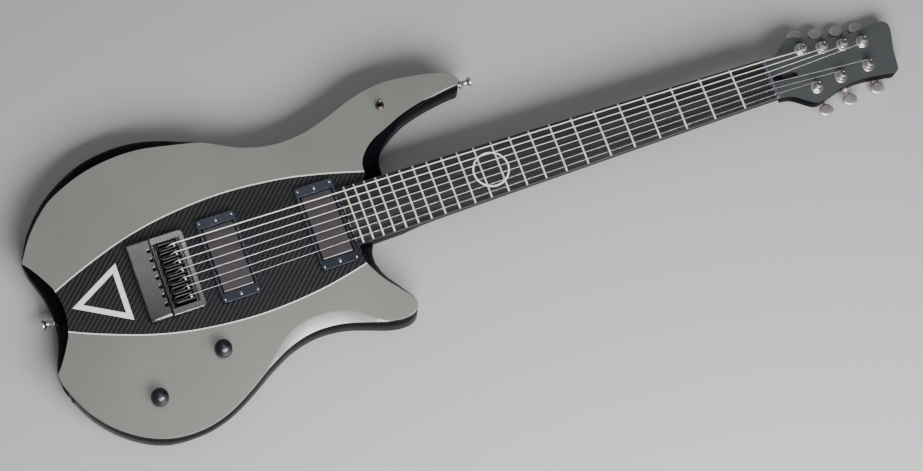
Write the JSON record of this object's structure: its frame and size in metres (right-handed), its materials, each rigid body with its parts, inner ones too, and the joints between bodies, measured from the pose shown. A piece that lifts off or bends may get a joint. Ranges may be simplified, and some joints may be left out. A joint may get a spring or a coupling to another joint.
{
  "type": "electric guitar",
  "caption": "Solid-body electric guitar: carved horned body with a bound carbon centre, pickups in rings, a sunken bridge with sliding saddles, and a tilted headstock with geared tuners.",
  "frame": {"origin": "on the flat back of the body, below the point where the saddle line crosses the centreline", "axes": "+X along the strings from the bridge to the headstock, +Y to the bass side, +Z out of the body's face"},
  "size_m": [1.0159, 0.341, 0.0603],
  "materials": {
    "black_lacquer": "black high-gloss lacquer over wood",
    "metallic_green_grey": "satin metallic green-grey lacquer over wood",
    "carbon_twill": "woven carbon under a clear satin coat",
    "cream_plastic": "polished cream plastic strip",
    "white_inlay": "white polished inlay",
    "dark_wood": "oiled open grain",
    "nut_graphite": "satin",
    "steel": "turned",
    "string_steel": "nickel-plated, wound on the thick ones",
    "tuner_nickel": "satin nickel",
    "pewter": "satin pewter grey",
    "black_steel": "black oxide",
    "gunmetal": "satin gunmetal",
    "brushed_nickel": "brushed taupe grey",
    "dark_gunmetal": "polished dark grey",
    "bronze_black": "dark plated",
    "chrome": "polished",
    "matte_black": "fine texture"
  },
  "bodies": {
    "guitar": {"body_back": "black_lacquer", "upper_top_wing": "metallic_green_grey", "lower_top_wing": "metallic_green_grey", "carbon_centre_top": "carbon_twill", "upper_purfling": "cream_plastic", "lower_purfling": "cream_plastic", "triangle_inlay": "white_inlay", "neck": "black_lacquer", "truss_rod": "steel", "fingerboard": "dark_wood", "nut": "nut_graphite", "tail_strap_button": "chrome", "horn_strap_button": "chrome", "neck_pickup_ring": "gunmetal", "bridge_pickup_ring": "gunmetal", "bridge_frame": "pewter", "bridge_tail_block": "pewter", "switch_bushing": "bronze_black", "output_jack": "chrome", "control_cavity_cover": "matte_black", "string_1": "string_steel", "string_2": "string_steel", "string_3": "string_steel", "string_4": "string_steel", "string_5": "string_steel", "string_6": "string_steel", "string_7": "string_steel", "tuner_case_1": "tuner_nickel", "tuner_case_2": "tuner_nickel", "tuner_case_3": "tuner_nickel", "tuner_case_4": "tuner_nickel", "tuner_case_5": "tuner_nickel", "tuner_case_6": "tuner_nickel", "tuner_case_7": "tuner_nickel"},
    "post_1": {"tuner_post_1": "tuner_nickel"},
    "button_1": {"tuner_button_1": "tuner_nickel"},
    "post_2": {"tuner_post_2": "tuner_nickel"},
    "button_2": {"tuner_button_2": "tuner_nickel"},
    "post_3": {"tuner_post_3": "tuner_nickel"},
    "button_3": {"tuner_button_3": "tuner_nickel"},
    "post_4": {"tuner_post_4": "tuner_nickel"},
    "button_4": {"tuner_button_4": "tuner_nickel"},
    "post_5": {"tuner_post_5": "tuner_nickel"},
    "button_5": {"tuner_button_5": "tuner_nickel"},
    "post_6": {"tuner_post_6": "tuner_nickel"},
    "button_6": {"tuner_button_6": "tuner_nickel"},
    "post_7": {"tuner_post_7": "tuner_nickel"},
    "button_7": {"tuner_button_7": "tuner_nickel"},
    "volume_knob": {"volume_knob": "dark_gunmetal"},
    "tone_knob": {"tone_knob": "dark_gunmetal"},
    "switch": {"switch_lever": "bronze_black"},
    "saddle_slider_1": {"saddle_1": "black_steel"},
    "saddle_slider_2": {"saddle_2": "black_steel"},
    "saddle_slider_3": {"saddle_3": "black_steel"},
    "saddle_slider_4": {"saddle_4": "black_steel"},
    "saddle_slider_5": {"saddle_5": "black_steel"},
    "saddle_slider_6": {"saddle_6": "black_steel"},
    "saddle_slider_7": {"saddle_7": "black_steel"},
    "neck_pickup_body": {"neck_pickup": "brushed_nickel"},
    "bridge_pickup_body": {"bridge_pickup": "brushed_nickel"}
  },
  "joints": [
    {"name": "button_1_turn", "type": "hinge", "parent": "guitar", "child": "button_1", "pos_m": [0.74225, 0.0257, 0.01725], "axis": [0, 1, 0], "continuous": true},
    {"name": "post_1_turn", "type": "hinge", "parent": "guitar", "child": "post_1", "pos_m": [0.73715, 0.0257, 0.03572], "axis": [0.1495, 0, 0.9888], "continuous": true},
    {"name": "button_2_turn", "type": "hinge", "parent": "guitar", "child": "button_2", "pos_m": [0.76736, 0.0215, 0.01345], "axis": [0, 1, 0], "continuous": true},
    {"name": "post_2_turn", "type": "hinge", "parent": "guitar", "child": "post_2", "pos_m": [0.76227, 0.0215, 0.03192], "axis": [0.1495, 0, 0.9888], "continuous": true},
    {"name": "button_3_turn", "type": "hinge", "parent": "guitar", "child": "button_3", "pos_m": [0.79228, 0.0183, 0.00968], "axis": [0, 1, 0], "continuous": true},
    {"name": "post_3_turn", "type": "hinge", "parent": "guitar", "child": "post_3", "pos_m": [0.78718, 0.0183, 0.02815], "axis": [0.1495, 0, 0.9888], "continuous": true},
    {"name": "button_4_turn", "type": "hinge", "parent": "guitar", "child": "button_4", "pos_m": [0.8166, 0.0156, 0.006], "axis": [0, 1, 0], "continuous": true},
    {"name": "post_4_turn", "type": "hinge", "parent": "guitar", "child": "post_4", "pos_m": [0.81151, 0.0156, 0.02447], "axis": [0.1495, 0, 0.9888], "continuous": true},
    {"name": "button_5_turn", "type": "hinge", "parent": "guitar", "child": "button_5", "pos_m": [0.81156, -0.0135, 0.00677], "axis": [0, -1, 0], "continuous": true},
    {"name": "post_5_turn", "type": "hinge", "parent": "guitar", "child": "post_5", "pos_m": [0.80646, -0.0135, 0.02524], "axis": [0.1495, 0, 0.9888], "continuous": true},
    {"name": "button_6_turn", "type": "hinge", "parent": "guitar", "child": "button_6", "pos_m": [0.77468, -0.0181, 0.01234], "axis": [0, -1, 0], "continuous": true},
    {"name": "post_6_turn", "type": "hinge", "parent": "guitar", "child": "post_6", "pos_m": [0.76958, -0.0181, 0.03081], "axis": [0.1495, 0, 0.9888], "continuous": true},
    {"name": "button_7_turn", "type": "hinge", "parent": "guitar", "child": "button_7", "pos_m": [0.74245, -0.0228, 0.01722], "axis": [0, -1, 0], "continuous": true},
    {"name": "post_7_turn", "type": "hinge", "parent": "guitar", "child": "post_7", "pos_m": [0.73735, -0.0228, 0.03569], "axis": [0.1495, 0, 0.9888], "continuous": true},
    {"name": "volume_knob_turn", "type": "hinge", "parent": "guitar", "child": "volume_knob", "pos_m": [0.0108, -0.0976, 0.042], "axis": [0, 0, 1], "range_deg": [0, 270]},
    {"name": "tone_knob_turn", "type": "hinge", "parent": "guitar", "child": "tone_knob", "pos_m": [-0.0698, -0.1268, 0.042], "axis": [0, 0, 1], "range_deg": [0, 270]},
    {"name": "switch_throw", "type": "hinge", "parent": "guitar", "child": "switch", "pos_m": [0.2632, 0.114, 0.0383], "axis": [0, 1, 0], "range_deg": [-11, 11]},
    {"name": "saddle_1_slide", "type": "slide", "parent": "guitar", "child": "saddle_slider_1", "axis": [1, 0, 0], "range_m": [-0.0015, 0.0015]},
    {"name": "saddle_2_slide", "type": "slide", "parent": "guitar", "child": "saddle_slider_2", "axis": [1, 0, 0], "range_m": [-0.0015, 0.0015]},
    {"name": "saddle_3_slide", "type": "slide", "parent": "guitar", "child": "saddle_slider_3", "axis": [1, 0, 0], "range_m": [-0.0015, 0.0015]},
    {"name": "saddle_4_slide", "type": "slide", "parent": "guitar", "child": "saddle_slider_4", "axis": [1, 0, 0], "range_m": [-0.0015, 0.0015]},
    {"name": "saddle_5_slide", "type": "slide", "parent": "guitar", "child": "saddle_slider_5", "axis": [1, 0, 0], "range_m": [-0.0015, 0.0015]},
    {"name": "saddle_6_slide", "type": "slide", "parent": "guitar", "child": "saddle_slider_6", "axis": [1, 0, 0], "range_m": [-0.0015, 0.0015]},
    {"name": "saddle_7_slide", "type": "slide", "parent": "guitar", "child": "saddle_slider_7", "axis": [1, 0, 0], "range_m": [-0.0015, 0.0015]},
    {"name": "neck_pickup_height", "type": "slide", "parent": "guitar", "child": "neck_pickup_body", "axis": [0, 0, 1], "range_m": [-0.003, 0.001]},
    {"name": "bridge_pickup_height", "type": "slide", "parent": "guitar", "child": "bridge_pickup_body", "axis": [0, 0, 1], "range_m": [-0.003, 0.001]}
  ],
  "couplings": [
    {"joint": "post_1_turn", "follows": "button_1_turn", "ratio": 0.0625},
    {"joint": "post_2_turn", "follows": "button_2_turn", "ratio": 0.0625},
    {"joint": "post_3_turn", "follows": "button_3_turn", "ratio": 0.0625},
    {"joint": "post_4_turn", "follows": "button_4_turn", "ratio": 0.0625},
    {"joint": "post_5_turn", "follows": "button_5_turn", "ratio": -0.0625},
    {"joint": "post_6_turn", "follows": "button_6_turn", "ratio": -0.0625},
    {"joint": "post_7_turn", "follows": "button_7_turn", "ratio": -0.0625}
  ]
}
